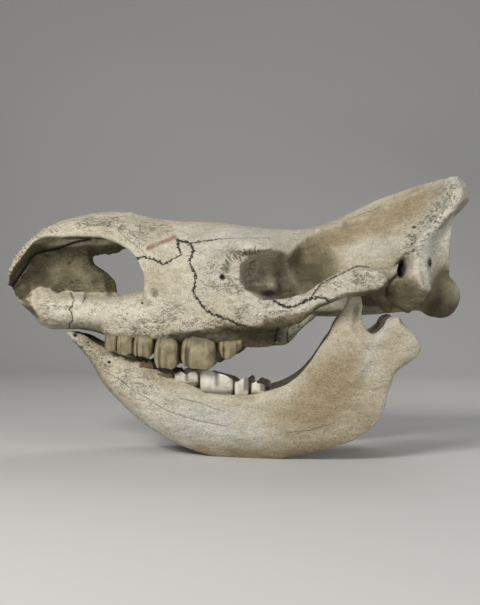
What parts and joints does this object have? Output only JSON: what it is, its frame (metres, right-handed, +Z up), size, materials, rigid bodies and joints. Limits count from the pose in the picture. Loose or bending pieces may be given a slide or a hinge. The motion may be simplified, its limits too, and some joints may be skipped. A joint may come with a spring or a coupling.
{
  "type": "fossil woolly rhinoceros skull",
  "caption": "Long-snouted fossil rhinoceros skull with bony nasal septum, raised nuchal crest, cheek teeth and lower jaw, resting on the curve of the jaw.",
  "frame": {"origin": "bottom centre of the bounding box, on the surface that the lower jaw rests on", "axes": "+X from the snout to the back of the skull, +Y to the animal's right, +Z up"},
  "size_m": [0.7838, 0.3313, 0.4566],
  "materials": {
    "cranium_bone": "matte",
    "jaw_bone": "matte",
    "upper_enamel": "satin",
    "lower_enamel": "satin",
    "worn_dentine": "matte"
  },
  "bodies": {
    "root": {"cranium": "cranium_bone", "mandible": "jaw_bone", "upper_P2_left": "upper_enamel", "upper_P2_right": "upper_enamel", "upper_P3_left": "upper_enamel", "upper_P3_right": "upper_enamel", "upper_P4_left": "upper_enamel", "upper_P4_right": "upper_enamel", "upper_M1_left": "upper_enamel", "upper_M1_right": "upper_enamel", "upper_M2_left": "upper_enamel", "upper_M2_right": "upper_enamel", "upper_M3_left": "upper_enamel", "upper_M3_right": "upper_enamel", "lower_p2_left": "worn_dentine", "lower_p2_right": "worn_dentine", "lower_p3_left": "worn_dentine", "lower_p3_right": "worn_dentine", "lower_p4_left": "lower_enamel", "lower_p4_right": "lower_enamel", "lower_m1_left": "lower_enamel", "lower_m1_right": "lower_enamel", "lower_m2_left": "lower_enamel", "lower_m2_right": "lower_enamel", "lower_m3_left": "lower_enamel", "lower_m3_right": "lower_enamel"}
  },
  "joints": []
}
